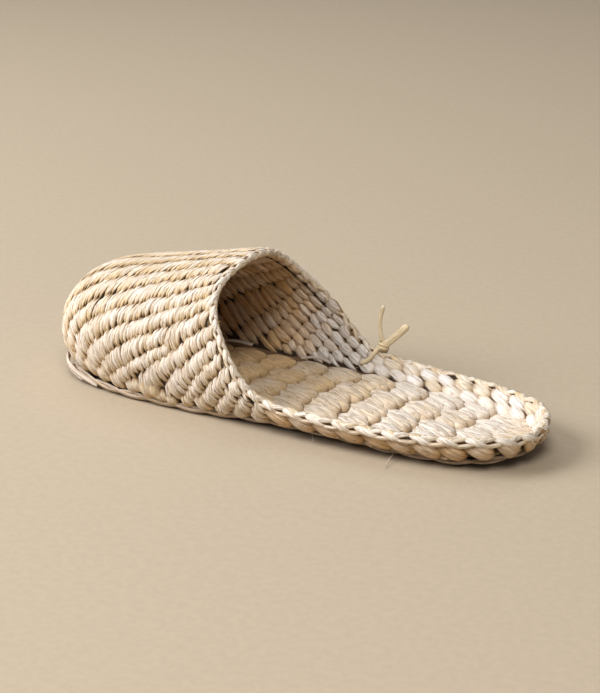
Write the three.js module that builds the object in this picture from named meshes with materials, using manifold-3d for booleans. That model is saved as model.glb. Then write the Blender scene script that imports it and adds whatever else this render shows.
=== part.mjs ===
// Woven slipper: a backless house slipper plaited from dried rush, one shoe of a pair.
//
// Frame: millimetres. X runs from the toe (-X) to the heel (+X), Y across the foot, Z up.
// The origin is on the floor under the middle of the shoe.
//
// Pieces, as a maker puts them together:
//   sole           plaited mat that lies on the floor
//   sole_binding   flat strand laid round the edge of the mat
//   footbed        fat leaf plait that the foot stands on
//   upper          woven wall: a closed vamp in front, a low splayed wall round the heel
//   mouth_braid    three-strand plait along the collar and the low rim
//   tie            knotted strand drawn round the rim beside the collar

import * as THREE from 'three';
import { mergeVertices } from 'three/addons/utils/BufferGeometryUtils.js';
import Module from 'manifold-3d';

const wasm = await Module();
wasm.setup();

// ---- driving dimensions ------------------------------------------------------------------

const WALL = 4;                // thickness of the woven wall
const GAP = 0.3;               // clearance between pieces that lie on each other
const SOLE_THICKNESS = 3.4;
const FOOTBED_THICKNESS = 3.4;
const FOOTBED_CROWN = {        // low dome along the middle of the footbed
  halfLength: 118,
  halfWidth: 30,
  height: 0.8,
};
const BINDING_RADIUS = 1.5;
const MOUTH_BRAID_RADIUS = 2.7;

const TIE_RADIUS = 1.3;
const TIE_KNOT_RADIUS = 2.4;

const FORM_AROUND = 44;        // facets round one cross-section of the form
const FORM_ALONG = 34;         // facets from toe to heel
const OUTLINE_STEPS = 30;      // facets along one side of the tread outline
const MOUTH_STEPS = 100;       // facets once round the mouth
const TUBE_SIDES = 8;
const KNOT_FACETS = 10;
const CUTTER_HALF = 70;        // cutting prisms reach this far either side of the middle
const CUTTER_ENDS = 150;       // and this far to the toe and the heel
const CUTTER_TOP = 120;
const ANGLE_STEP = 1e-3;       // for tangents, and to tell the two ends of the form

// The form, one row for each cross-section. Heights and depths are taken from the widest line.
//   x      station                       width  half width at the widest line
//   level  height of the widest line     crown  height of the arch above it
//   keel   depth of the curve below it
const FORM_SECTIONS = [
  { x: -134.5, width: 0, level: 26, crown: 0, keel: 0 },
  { x: -128, width: 24, level: 26, crown: 17, keel: 17 },
  { x: -117, width: 36.5, level: 26, crown: 26, keel: 30 },
  { x: -102, width: 43.5, level: 26, crown: 31, keel: 40 },
  { x: -82, width: 47, level: 25.5, crown: 35.5, keel: 45 },
  { x: -57, width: 48.3, level: 25, crown: 41.5, keel: 46 },
  { x: -27, width: 48.5, level: 25, crown: 48, keel: 39 },
  { x: 8, width: 49.2, level: 25, crown: 52, keel: 32.5 },
  { x: 48, width: 49, level: 25, crown: 50, keel: 29 },
  { x: 84, width: 44.8, level: 25, crown: 45, keel: 28.6 },
  { x: 108, width: 37.2, level: 25, crown: 38, keel: 28 },
  { x: 126, width: 26, level: 25, crown: 26, keel: 21 },
  { x: 137.5, width: 0, level: 25, crown: 0, keel: 0 },
];

// The tread: half width to the outer edge of the binding, and how far the underside lifts
// off the floor there, for toe spring, a slight arch and a turned-up heel.
const TREAD_SECTIONS = [
  { x: -126.5, half: 0, lift: 6.5 },
  { x: -123, half: 18, lift: 5.6 },
  { x: -116, half: 30, lift: 4.2 },
  { x: -104, half: 38.5, lift: 2.2 },
  { x: -87, half: 42.5, lift: 0.6 },
  { x: -74, half: 43.5, lift: 0 },
  { x: -32, half: 41.5, lift: 0 },
  { x: -2, half: 37, lift: 0.9 },
  { x: 28, half: 34.5, lift: 1.2 },
  { x: 58, half: 32, lift: 0.5 },
  { x: 74, half: 31, lift: 0 },
  { x: 100, half: 27, lift: 0 },
  { x: 114, half: 21.5, lift: 0.9 },
  { x: 123, half: 13.5, lift: 2.2 },
  { x: 127.5, half: 0, lift: 3 },
];

// Side view of the mouth, down the collar and back along the low rim. The first point lies
// on the form's crown line and the last one on its keel line, at the back of the heel.
const COLLAR_TOP_X = -24.5;
const RIM_BACK_X = 134;
const MOUTH_PROFILE = [
  { x: -26.5, z: 67 },
  { x: -25.5, z: 60 },
  { x: -21, z: 52 },
  { x: -13.5, z: 42.5 },
  { x: -6, z: 33 },
  { x: 2, z: 24 },
  { x: 10, z: 17.8 },
  { x: 20, z: 14.4 },
  { x: 38, z: 13 },
  { x: 68, z: 12.8 },
  { x: 98, z: 13.6 },
  { x: 121, z: 14.6 },
];

// The tie's route: the upright end, the knot on the rim, down the inside of the wall, out
// through its foot, up the outside to the knot again, and the leaning end.
const TIE_ROUTE = [
  [20.6, 46.6, 44.5],
  [20.4, 46.4, 38],
  [20.6, 46.1, 31],
  [20.9, 45.8, 25.5],
  [21, 45.5, 20.5],
  [20.2, 42.6, 20.2],
  [18.8, 40.2, 17.4],
  [16.6, 38.9, 14.2],
  [13.6, 37.6, 11.9],
  [12.6, 40, 9.5],
  [12.6, 43.2, 6.9],
  [14, 45.8, 8.2],
  [16, 47.4, 11],
  [18, 49.1, 14.3],
  [19.6, 49.4, 17.6],
  [20.6, 47.8, 20.3],
  [21, 45.5, 20.5],
  [24.5, 47, 23.6],
  [28.3, 48.8, 27.6],
  [32.2, 50.4, 31.8],
];
const KNOT_FIRST = 4;          // where the route reaches the knot, and where it returns
const KNOT_AGAIN = 16;

// ---- tables to smooth curves -------------------------------------------------------------

// Stations are spread by angle, so that a half width that ends in nothing ends in a round nose.
function stationAngle(rows, x) {
  const first = rows[0].x;
  const last = rows[rows.length - 1].x;
  const along = (2 * x - first - last) / (last - first);
  return Math.acos(THREE.MathUtils.clamp(-along, -1, 1));
}

function angleStation(rows, angle) {
  const first = rows[0].x;
  const last = rows[rows.length - 1].x;
  return (first + last) / 2 - ((last - first) / 2) * Math.cos(angle);
}

// A column of a table as a smooth function of the station x.
function columnCurve(rows, column) {
  const knots = rows.map((row) => stationAngle(rows, row.x));
  const values = rows.map((row) => row[column]);
  const slopes = values.map((value, i) => {
    const before = Math.max(i - 1, 0);
    const after = Math.min(i + 1, values.length - 1);
    return (values[after] - values[before]) / (knots[after] - knots[before]);
  });
  return (x) => {
    const angle = stationAngle(rows, x);
    let i = 0;
    while (i < knots.length - 2 && angle > knots[i + 1]) i += 1;
    const step = knots[i + 1] - knots[i];
    const t = (angle - knots[i]) / step;
    const rise = t * t * (3 - 2 * t);
    const leave = t * (1 - t) * (1 - t) * step * slopes[i];
    const arrive = t * t * (t - 1) * step * slopes[i + 1];
    return values[i] + (values[i + 1] - values[i]) * rise + leave + arrive;
  };
}

const form = {
  width: columnCurve(FORM_SECTIONS, 'width'),
  level: columnCurve(FORM_SECTIONS, 'level'),
  crown: columnCurve(FORM_SECTIONS, 'crown'),
  keel: columnCurve(FORM_SECTIONS, 'keel'),
};
const treadHalf = columnCurve(TREAD_SECTIONS, 'half');
const treadLift = columnCurve(TREAD_SECTIONS, 'lift');

// ---- points of the form and the tread ----------------------------------------------------

// angle: 0 at the toe, PI at the heel. turn: PI/2 on the crown, -PI/2 on the keel, 0 on +Y.
function outerPoint(angle, turn) {
  const x = angleStation(FORM_SECTIONS, angle);
  const reach = Math.sin(turn) > 0 ? form.crown(x) : form.keel(x);
  const y = form.width(x) * Math.cos(turn);
  return new THREE.Vector3(x, y, form.level(x) + reach * Math.sin(turn));
}

// The form's outward normal, from neighbouring points of the surface.
function formNormal(angle, turn) {
  const step = ANGLE_STEP;
  const from = THREE.MathUtils.clamp(angle, 2 * step, Math.PI - 2 * step);
  const lengthwise = outerPoint(from + step, turn).sub(outerPoint(from - step, turn));
  const crosswise = outerPoint(from, turn + step).sub(outerPoint(from, turn - step));
  return crosswise.cross(lengthwise).normalize();
}

// The surface that lies the inset inside the form; a negative inset lies outside it.
function formPoint(angle, turn, inset) {
  const first = FORM_SECTIONS[0];
  const last = FORM_SECTIONS[FORM_SECTIONS.length - 1];
  if (angle < ANGLE_STEP) return new THREE.Vector3(first.x + inset, 0, first.level);
  if (angle > Math.PI - ANGLE_STEP) return new THREE.Vector3(last.x - inset, 0, last.level);
  return outerPoint(angle, turn).addScaledVector(formNormal(angle, turn), -inset);
}

// The turn at which the form reaches height z at station x.
function turnAt(x, z) {
  const rise = z - form.level(x);
  const reach = rise > 0 ? form.crown(x) : form.keel(x);
  return Math.asin(THREE.MathUtils.clamp(rise / reach, -1, 1));
}

// The tread outline in plan on the +Y side, moved inwards by the inset.
function treadPoint(angle, inset) {
  const at = (a) => {
    const x = angleStation(TREAD_SECTIONS, a);
    return new THREE.Vector2(x, treadHalf(x));
  };
  const step = ANGLE_STEP;
  const from = THREE.MathUtils.clamp(angle, step, Math.PI - step);
  const tangent = at(from + step).sub(at(from - step)).normalize();
  if (angle < step) tangent.set(0, 1);
  if (angle > Math.PI - step) tangent.set(0, -1);
  return at(angle).add(new THREE.Vector2(tangent.y, -tangent.x).multiplyScalar(inset));
}

// ---- solids ------------------------------------------------------------------------------

function solid(geometry) {
  const bare = geometry.clone();
  bare.deleteAttribute('normal');
  bare.deleteAttribute('uv');
  const merged = mergeVertices(bare, 1e-4);
  const mesh = new wasm.Mesh({
    numProp: 3,
    vertProperties: new Float32Array(merged.attributes.position.array),
    triVerts: new Uint32Array(merged.index.array),
  });
  return new wasm.Manifold(mesh);
}

function geometryOf(manifold) {
  const mesh = manifold.getMesh();
  const geometry = new THREE.BufferGeometry();
  geometry.setAttribute('position', new THREE.BufferAttribute(mesh.vertProperties, 3));
  geometry.setIndex(new THREE.BufferAttribute(mesh.triVerts, 1));
  const faceted = geometry.toNonIndexed();
  faceted.computeVertexNormals();
  return faceted;
}

// The whole form as a closed body, the inset inside the outer surface.
function formSolid(inset) {
  const geometry = new THREE.SphereGeometry(1, FORM_AROUND, FORM_ALONG);
  const position = geometry.attributes.position;
  for (let row = 0; row <= FORM_ALONG; row += 1) {
    for (let column = 0; column <= FORM_AROUND; column += 1) {
      const turn = Math.PI - ((column % FORM_AROUND) / FORM_AROUND) * 2 * Math.PI;
      const point = formPoint((row / FORM_ALONG) * Math.PI, turn, inset);
      position.setXYZ(row * (FORM_AROUND + 1) + column, point.x, point.y, point.z);
    }
  }
  return solid(geometry);
}

// A tube round a closed path.
function closedTube(path, radius, along) {
  const geometry = new THREE.TorusGeometry(1, 0.5, TUBE_SIDES, along);
  const position = geometry.attributes.position;
  const frames = path.computeFrenetFrames(along, true);
  for (let side = 0; side <= TUBE_SIDES; side += 1) {
    const turn = ((side % TUBE_SIDES) / TUBE_SIDES) * 2 * Math.PI;
    for (let step = 0; step <= along; step += 1) {
      const at = step % along;
      const point = path
        .getPointAt(at / along)
        .addScaledVector(frames.normals[at], radius * Math.cos(turn))
        .addScaledVector(frames.binormals[at], -radius * Math.sin(turn));
      position.setXYZ(side * (along + 1) + step, point.x, point.y, point.z);
    }
  }
  return solid(geometry);
}

// A round strand along an open path.
function strand(points, radius, steps) {
  const section = new THREE.Shape();
  section.absarc(0, 0, radius, 0, 2 * Math.PI);
  const path = new THREE.CatmullRomCurve3(points);
  return solid(
    new THREE.ExtrudeGeometry(section, {
      extrudePath: path,
      steps,
      curveSegments: TUBE_SIDES / 2,
    }),
  );
}

// A prism across the foot whose outline is given in side view.
function sidePrism(outline) {
  const geometry = new THREE.ExtrudeGeometry(new THREE.Shape(outline), {
    depth: 2 * CUTTER_HALF,
    bevelEnabled: false,
  });
  geometry.rotateX(Math.PI / 2);
  geometry.translate(0, CUTTER_HALF, 0);
  return solid(geometry);
}

// Everything between two heights above the tread line, from end to end of the shoe.
function layer(bottom, top) {
  const stations = [-CUTTER_ENDS, ...TREAD_SECTIONS.map((row) => row.x), CUTTER_ENDS];
  const curve = (height) =>
    stations.map((x) => new THREE.Vector2(x, Math.max(treadLift(x), 0) + height));
  return sidePrism([...curve(bottom), ...curve(top).reverse()]);
}

// ---- the mouth ---------------------------------------------------------------------------

function mouthProfile() {
  const top = { x: COLLAR_TOP_X, z: form.level(COLLAR_TOP_X) + form.crown(COLLAR_TOP_X) };
  const back = { x: RIM_BACK_X, z: form.level(RIM_BACK_X) - form.keel(RIM_BACK_X) };
  const rows = [top, ...MOUTH_PROFILE, back];
  return new THREE.SplineCurve(rows.map((row) => new THREE.Vector2(row.x, row.z)));
}

// The line of the mouth half way through the wall, once round.
function mouthPath() {
  const steps = MOUTH_STEPS;
  const profile = mouthProfile();
  const side = [];
  for (let i = 0; i <= steps; i += 1) {
    const at = profile.getPointAt((1 - Math.cos((i / steps) * Math.PI)) / 2);
    const turn = turnAt(at.x, at.y);
    side.push(formPoint(stationAngle(FORM_SECTIONS, at.x), turn, WALL / 2));
  }
  side[0].y = 0;
  side[steps].y = 0;
  const other = side.slice(1, -1).reverse();
  const mirrored = other.map((point) => new THREE.Vector3(point.x, -point.y, point.z));
  return new THREE.CatmullRomCurve3([...side, ...mirrored], true, 'centripetal');
}

// All that is cut away above the mouth.
function mouthCutter() {
  const profile = mouthProfile().getSpacedPoints(MOUTH_STEPS / 2);
  const back = profile[profile.length - 1];
  return sidePrism([
    ...profile,
    new THREE.Vector2(CUTTER_ENDS, back.y),
    new THREE.Vector2(CUTTER_ENDS, CUTTER_TOP),
    new THREE.Vector2(COLLAR_TOP_X, CUTTER_TOP),
  ]);
}

// ---- the tie -----------------------------------------------------------------------------

const tieRoute = TIE_ROUTE.map((point) => new THREE.Vector3(...point));

function tieLoop(radius) {
  return strand(tieRoute.slice(KNOT_FIRST, KNOT_AGAIN + 1), radius, 36);
}

function makeTie() {
  const knot = tieRoute[KNOT_FIRST];
  const bead = new THREE.SphereGeometry(TIE_KNOT_RADIUS, KNOT_FACETS, KNOT_FACETS);
  bead.translate(knot.x, knot.y, knot.z);
  return tieLoop(TIE_RADIUS)
    .add(solid(bead))
    .add(strand(tieRoute.slice(0, KNOT_FIRST + 1), TIE_RADIUS, 8))
    .add(strand(tieRoute.slice(KNOT_AGAIN), TIE_RADIUS, 6));
}

// ---- the pieces --------------------------------------------------------------------------

function makeSole() {
  const inset = 2 * BINDING_RADIUS + GAP;
  const side = [];
  for (let i = 0; i <= OUTLINE_STEPS; i += 1) {
    side.push(treadPoint((i / OUTLINE_STEPS) * Math.PI, inset));
  }
  const other = side.slice(1, -1).reverse();
  const mirrored = other.map((point) => new THREE.Vector2(point.x, -point.y));
  const slab = new THREE.ExtrudeGeometry(new THREE.Shape([...side, ...mirrored]), {
    depth: CUTTER_TOP,
    bevelEnabled: false,
  });
  slab.translate(0, 0, -CUTTER_TOP / 2);
  return solid(slab).intersect(layer(0, SOLE_THICKNESS));
}

function makeSoleBinding() {
  const points = [];
  for (let i = 0; i < 2 * OUTLINE_STEPS; i += 1) {
    const angle = (i / OUTLINE_STEPS) * Math.PI;
    const onFarSide = angle > Math.PI;
    const at = treadPoint(onFarSide ? 2 * Math.PI - angle : angle, BINDING_RADIUS);
    const height = Math.max(treadLift(at.x), 0) + GAP + BINDING_RADIUS;
    points.push(new THREE.Vector3(at.x, onFarSide ? -at.y : at.y, height));
  }
  const path = new THREE.CatmullRomCurve3(points, true, 'centripetal');
  return closedTube(path, BINDING_RADIUS, 4 * OUTLINE_STEPS);
}

// The footbed fills the foot of the wall, so it is cut from the same form.
function makeFootbed() {
  const bottom = SOLE_THICKNESS + GAP;
  const top = bottom + FOOTBED_THICKNESS;
  const inside = formSolid(WALL + GAP);
  const { halfLength, halfWidth, height } = FOOTBED_CROWN;
  const dome = new THREE.SphereGeometry(1, FORM_ALONG, FORM_ALONG / 2);
  dome.scale(halfLength, halfWidth, 2 * height);
  dome.translate(0, 0, top - height);
  const crown = solid(dome).intersect(layer(bottom + height, CUTTER_TOP));
  return inside.intersect(layer(bottom, top)).add(crown.intersect(inside));
}

function makeUpper(mouth) {
  const belowMat = layer(-CUTTER_TOP, SOLE_THICKNESS + GAP);
  return formSolid(0)
    .subtract(formSolid(WALL))
    .subtract(mouthCutter())
    .subtract(belowMat)
    .subtract(closedTube(mouth, MOUTH_BRAID_RADIUS + GAP, MOUTH_STEPS))
    .subtract(tieLoop(TIE_RADIUS + GAP));
}

// ---- materials and the shoe --------------------------------------------------------------

function finish(colour, roughness) {
  return new THREE.MeshStandardMaterial({ color: colour, roughness, metalness: 0 });
}

const paleRush = finish(0xd9cdb4, 0.75);
const goldenRush = finish(0xcbb185, 0.75);
const tanRush = finish(0xb89a6c, 0.8);

const mouth = mouthPath();
const pieces = [
  ['sole', makeSole(), tanRush],
  ['sole_binding', makeSoleBinding(), paleRush],
  ['footbed', makeFootbed(), goldenRush],
  ['upper', makeUpper(mouth), paleRush],
  ['mouth_braid', closedTube(mouth, MOUTH_BRAID_RADIUS, MOUTH_STEPS), goldenRush],
  ['tie', makeTie(), goldenRush],
];

const group = new THREE.Group();
for (const [name, piece, material] of pieces) {
  const mesh = new THREE.Mesh(geometryOf(piece), material);
  mesh.name = name;
  group.add(mesh);
}

export default group;
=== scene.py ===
import math
from functools import partial
from types import SimpleNamespace

import bpy
import numpy as np
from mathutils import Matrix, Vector


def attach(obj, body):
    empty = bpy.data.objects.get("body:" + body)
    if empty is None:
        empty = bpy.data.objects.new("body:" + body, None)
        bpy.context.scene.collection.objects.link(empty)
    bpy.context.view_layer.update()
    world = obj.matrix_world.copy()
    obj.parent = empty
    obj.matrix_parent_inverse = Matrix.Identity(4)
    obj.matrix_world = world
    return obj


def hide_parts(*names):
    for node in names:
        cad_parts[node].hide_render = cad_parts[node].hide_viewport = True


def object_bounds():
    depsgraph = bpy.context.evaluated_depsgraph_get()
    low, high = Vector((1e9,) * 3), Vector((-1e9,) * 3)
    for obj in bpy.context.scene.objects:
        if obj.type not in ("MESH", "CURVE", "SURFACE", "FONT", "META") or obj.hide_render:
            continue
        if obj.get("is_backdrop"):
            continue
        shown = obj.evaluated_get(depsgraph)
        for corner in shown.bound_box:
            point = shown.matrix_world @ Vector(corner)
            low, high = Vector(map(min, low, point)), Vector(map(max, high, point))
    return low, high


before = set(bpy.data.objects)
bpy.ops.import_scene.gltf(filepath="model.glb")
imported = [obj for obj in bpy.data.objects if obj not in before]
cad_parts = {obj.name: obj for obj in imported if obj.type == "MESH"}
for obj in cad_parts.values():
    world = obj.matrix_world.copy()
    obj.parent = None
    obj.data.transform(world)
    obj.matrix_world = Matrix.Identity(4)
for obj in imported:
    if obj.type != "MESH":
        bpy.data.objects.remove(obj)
CAD_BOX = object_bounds()

bl_info = {
    "name": "Woven Slipper",
    "version": (1, 0, 0),
    "blender": (4, 5, 0),
    "location": "3D View > Sidebar > Slipper",
    "description": "Plaits a backless rush slipper round the packed wall, footbed and sole",
    "category": "Object",
}

# Lengths in this file are millimetres until a mesh is made, and MM turns them into metres.
# X runs from the toe (-X) to the heel (+X), Y across the foot, Z up from the floor.
MM = 0.001
SEED = 11

# ---- the last, as the upper's wall has it ------------------------------------------------

# x, half width at the widest line, its height, arch above it, curve below it
FORM_SECTIONS = np.array([
    (-134.5, 0, 26, 0, 0), (-128, 24, 26, 17, 17), (-117, 36.5, 26, 26, 30),
    (-102, 43.5, 26, 31, 40), (-82, 47, 25.5, 35.5, 45), (-57, 48.3, 25, 41.5, 46),
    (-27, 48.5, 25, 48, 39), (8, 49.2, 25, 52, 32.5), (48, 49, 25, 50, 29),
    (84, 44.8, 25, 45, 28.6), (108, 37.2, 25, 38, 28), (126, 26, 25, 26, 21),
    (137.5, 0, 25, 0, 0),
])
STATION, WIDTH, LEVEL, CROWN, KEEL = range(5)

# x, half width to the outer edge of the binding, lift of the underside off the floor
TREAD_SECTIONS = np.array([
    (-126.5, 0, 6.5), (-123, 18, 5.6), (-116, 30, 4.2), (-104, 38.5, 2.2), (-87, 42.5, 0.6),
    (-74, 43.5, 0), (-32, 41.5, 0), (-2, 37, 0.9), (28, 34.5, 1.2), (58, 32, 0.5),
    (74, 31, 0), (100, 27, 0), (114, 21.5, 0.9), (123, 13.5, 2.2), (127.5, 0, 3),
])
HALF, LIFT = 1, 2

# side view of the mouth, down the collar and back along the low rim: x, z
MOUTH_PROFILE = np.array([
    (-26.5, 67), (-25.5, 60), (-21, 52), (-13.5, 42.5), (-6, 33), (2, 24),
    (10, 17.8), (20, 14.4), (38, 13), (68, 12.8), (98, 13.6), (121, 14.6),
])
COLLAR_TOP_X = -24.5
RIM_BACK_X = 134.0
VAMP_FOOT_X = 16.0        # where the vamp's ribs give way to the low rim

WALL = 4.0
SOLE_TOP = 3.7            # the wall and the footbed start this far above the tread line
FOOTBED_TOP = 7.1
BINDING_RADIUS = 1.5

# the tie's route: upright end, knot, down inside the wall, out through its foot, back over
TIE_ROUTE = [
    (20.3, 46.5, 41.2), (18.8, 46.5, 36), (18.5, 46.2, 30.5), (19.6, 45.8, 25), (21, 45.5, 20.5),
    (20.2, 42.6, 20.2), (18.8, 40.2, 17.4), (16.6, 38.9, 14.2), (13.6, 37.6, 11.9), (12.6, 40, 9.5),
    (12.6, 43.2, 6.9), (14, 45.8, 8.2), (16, 47.4, 11), (18, 49.1, 14.3), (19.6, 49.4, 17.6),
    (20.6, 47.8, 20.3), (21, 45.5, 20.5), (24.5, 47, 23.6), (28.3, 48.8, 27.6), (32.2, 50.4, 31.8),
]
KNOT_AT, HOLE_AT = 4, 9

# a flat strand that lies round the toe over the sole's edge and bows off it on -Y, and the
# one under it
TOE_LIP = [
    (-84, 41.8, 4.6), (-92, 41.5, 6.2), (-101, 39.8, 7.9), (-110, 36.8, 9.2),
    (-117.5, 31.4, 10.2), (-123.6, 23.2, 11.1), (-127.9, 14.2, 11.5), (-130.4, 3, 11.2),
    (-130.4, -7, 10.4), (-128.5, -16, 9.4),
    (-125, -25, 8.8), (-120.5, -31.5, 7.8), (-115, -35.8, 6.4),
    (-108, -38.8, 5), (-100, -41, 3.6), (-92, -42, 2.2),
]
TOE_STRAP = [
    (-105, 38.6, 4.6), (-113, 34, 5.8), (-120, 27, 6.6), (-125, 18.4, 7.2), (-128, 8, 7.6),
    (-129, -4, 7.5), (-128, -18, 6.8), (-123, -27.5, 5.8), (-117.5, -33, 4.4),
    (-111, -37, 3.4), (-103, -40.4, 2.8),
]

# places, half width and half thickness of cut ends and fibres
LOOSE_ENDS = [
    ([(-69, 28, 9.8), (-63, 29.8, 11), (-56, 31, 11.2), (-49.5, 31.6, 10.8)], 1.4, 0.4),
    ([(-20, 32.6, 9.2), (-14, 33.8, 10.6), (-8, 33.9, 11), (-2, 33, 10.2)], 1.2, 0.4),
    ([(76.2, -31.5, 3.2), (76.8, -34.5, 2.4), (77.6, -39.5, 1.4), (79.8, -45, 0.4)], 0.16, 0.16),
    ([(32.1, -34, 2.6), (34, -36.2, 1.6), (36.2, -38.6, 0.5)], 0.14, 0.14),
]

FLOOR_GAP = 0.1           # no strand reaches lower than this
STRAND_SIDES = 8

ROOT = "root"

# ---- tables to smooth curves -------------------------------------------------------------


def station_angle(table, x):
    """0 at the table's first station, pi at its last, so that widths end in round noses."""
    first, last = table[0, STATION], table[-1, STATION]
    return np.arccos(np.clip((first + last - 2 * x) / (last - first), -1, 1))


def angle_station(table, angle):
    """The x of a station angle."""
    first, last = table[0, STATION], table[-1, STATION]
    return (first + last) / 2 - (last - first) / 2 * np.cos(angle)


def column(table, index, angle):
    """A column of a table as a smooth function of the station angle."""
    knots, values = station_angle(table, table[:, STATION]), table[:, index]
    count = len(knots)
    before = np.maximum(np.arange(count) - 1, 0)
    after = np.minimum(np.arange(count) + 1, count - 1)
    slopes = (values[after] - values[before]) / (knots[after] - knots[before])
    i = np.clip(np.searchsorted(knots, angle) - 1, 0, count - 2)
    step = knots[i + 1] - knots[i]
    t = (angle - knots[i]) / step
    rise = t * t * (3 - 2 * t)
    leave = t * (1 - t) ** 2 * step * slopes[i]
    arrive = t * t * (t - 1) * step * slopes[i + 1]
    return values[i] + (values[i + 1] - values[i]) * rise + leave + arrive


def unit(vectors):
    return vectors / np.linalg.norm(vectors, axis=-1, keepdims=True)


def square_to(axis, vectors):
    """The vectors without what they have along a unit axis, as unit vectors."""
    return unit(vectors - axis * (vectors * axis).sum(-1, keepdims=True))


def loop_ahead(line):
    """The direction of a closed line at each of its points."""
    return unit(np.roll(line, -1, 0) - np.roll(line, 1, 0))


def form_reach(angle, upwards):
    """Height of the last over its widest line, or its depth under it."""
    return np.where(
        upwards, column(FORM_SECTIONS, CROWN, angle), column(FORM_SECTIONS, KEEL, angle)
    )


def form_point(angle, fall):
    """A point of the last. fall is 0 on the crown, pi / 2 on +Y, pi on the keel."""
    reach = form_reach(angle, np.cos(fall) > 0)
    return np.stack([
        angle_station(FORM_SECTIONS, angle),
        column(FORM_SECTIONS, WIDTH, angle) * np.sin(fall),
        column(FORM_SECTIONS, LEVEL, angle) + reach * np.cos(fall),
    ], -1)


def form_normal(angle, fall):
    step = 1e-3
    held = np.clip(angle, 2 * step, math.pi - 2 * step)
    lengthwise = form_point(held + step, fall) - form_point(held - step, fall)
    crosswise = form_point(held, fall + step) - form_point(held, fall - step)
    return unit(np.cross(lengthwise, crosswise))


def fall_at(angle, z):
    """The fall at which the last reaches height z."""
    rise = z - column(FORM_SECTIONS, LEVEL, angle)
    return np.arccos(np.clip(rise / np.maximum(form_reach(angle, rise > 0), 1e-6), -1, 1))


def tread_at(index, x):
    return column(TREAD_SECTIONS, index, station_angle(TREAD_SECTIONS, np.asarray(x, float)))


def tread_lift(x):
    return np.maximum(tread_at(LIFT, x), 0)


def lengths_along(points):
    steps = np.linalg.norm(np.diff(points, axis=0), axis=1)
    return np.concatenate([[0], np.cumsum(steps)])


def at_length(points, lengths, wanted):
    """Points of a polyline at the wanted lengths along it."""
    columns = [np.interp(wanted, lengths, points[:, i]) for i in range(points.shape[1])]
    return np.stack(columns, -1)


def smooth_line(points, per_span):
    """A Catmull-Rom line through the points."""
    p = np.asarray(points, float)
    p = np.vstack([2 * p[0] - p[1], p, 2 * p[-1] - p[-2]])
    t = np.linspace(0, 1, per_span, endpoint=False)[:, None]
    spans = [
        0.5 * (
            2 * p[i] + (p[i + 1] - p[i - 1]) * t
            + (2 * p[i - 1] - 5 * p[i] + 4 * p[i + 1] - p[i + 2]) * t ** 2
            + (3 * p[i] - p[i - 1] - 3 * p[i + 1] + p[i + 2]) * t ** 3
        )
        for i in range(1, len(p) - 2)
    ]
    return np.vstack([*spans, p[-2:-1]])


def mouth_profile():
    top_angle = station_angle(FORM_SECTIONS, COLLAR_TOP_X)
    back_angle = station_angle(FORM_SECTIONS, RIM_BACK_X)
    top = form_point(top_angle, 0.0)
    back = form_point(back_angle, math.pi)
    return smooth_line([top[[0, 2]], *MOUTH_PROFILE, back[[0, 2]]], 30)


PROFILE = mouth_profile()

# ---- the last laid flat round its toe or its heel ----------------------------------------
# A chart is the last's surface spread round one pole: the distance from the middle is the
# angle from that pole, and the direction is the fall.


def to_chart(angle, fall, pole):
    radius = angle if pole == "toe" else math.pi - angle
    return np.stack([radius * np.sin(fall), radius * np.cos(fall)], -1)


def from_chart(chart, pole):
    radius = np.hypot(chart[..., 0], chart[..., 1])
    fall = np.arctan2(chart[..., 0], chart[..., 1])
    return (radius if pole == "toe" else math.pi - radius), fall


def wall_sheet(pole, inside=False):
    """The outer face of the wall, or its inner face with the normal turned inwards. A sheet
    is a function that gives the points and normals of a face at places of its chart."""

    def sheet(chart):
        angle, fall = from_chart(chart, pole)
        point, normal = form_point(angle, fall), form_normal(angle, fall)
        if inside:
            return point - normal * WALL, -normal
        return point, normal

    return sheet


def level_sheet(height_at, facing):
    """A nearly level face: the chart is x, y. facing is 1 upwards, -1 downwards."""

    def sheet(chart):
        x, y = chart[..., 0], chart[..., 1]
        step = 0.5
        slope_x = (height_at(x + step, y) - height_at(x - step, y)) / (2 * step)
        slope_y = (height_at(x, y + step) - height_at(x, y - step)) / (2 * step)
        normal = unit(np.stack([-slope_x, -slope_y, np.ones_like(x)], -1))
        return np.stack([x, y, height_at(x, y)], -1), normal * facing

    return sheet


def on_sheet(sheet, centre, direction):
    """The chart step that moves a point of the sheet 1 mm in that direction."""
    step = 1e-4
    here = sheet(centre)[0]
    du = (sheet(centre + [step, 0])[0] - here) / step
    dv = (sheet(centre + [0, step])[0] - here) / step
    uu, uv, vv = (du * du).sum(-1), (du * dv).sum(-1), (dv * dv).sum(-1)
    ud, vd = (du * direction).sum(-1), (dv * direction).sum(-1)
    det = uu * vv - uv * uv
    return np.stack([(vv * ud - uv * vd) / det, (uu * vd - uv * ud) / det], -1)


# ---- the ribs of the vamp ----------------------------------------------------------------
# The grooves between the ribs of one side, numbered from the crown, each from the sole to the
# collar in equal steps: x, and degrees round from the crown. 6.5 is where one rib splits. The
# figures were printed by a fitting script, not chosen by hand.

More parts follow.
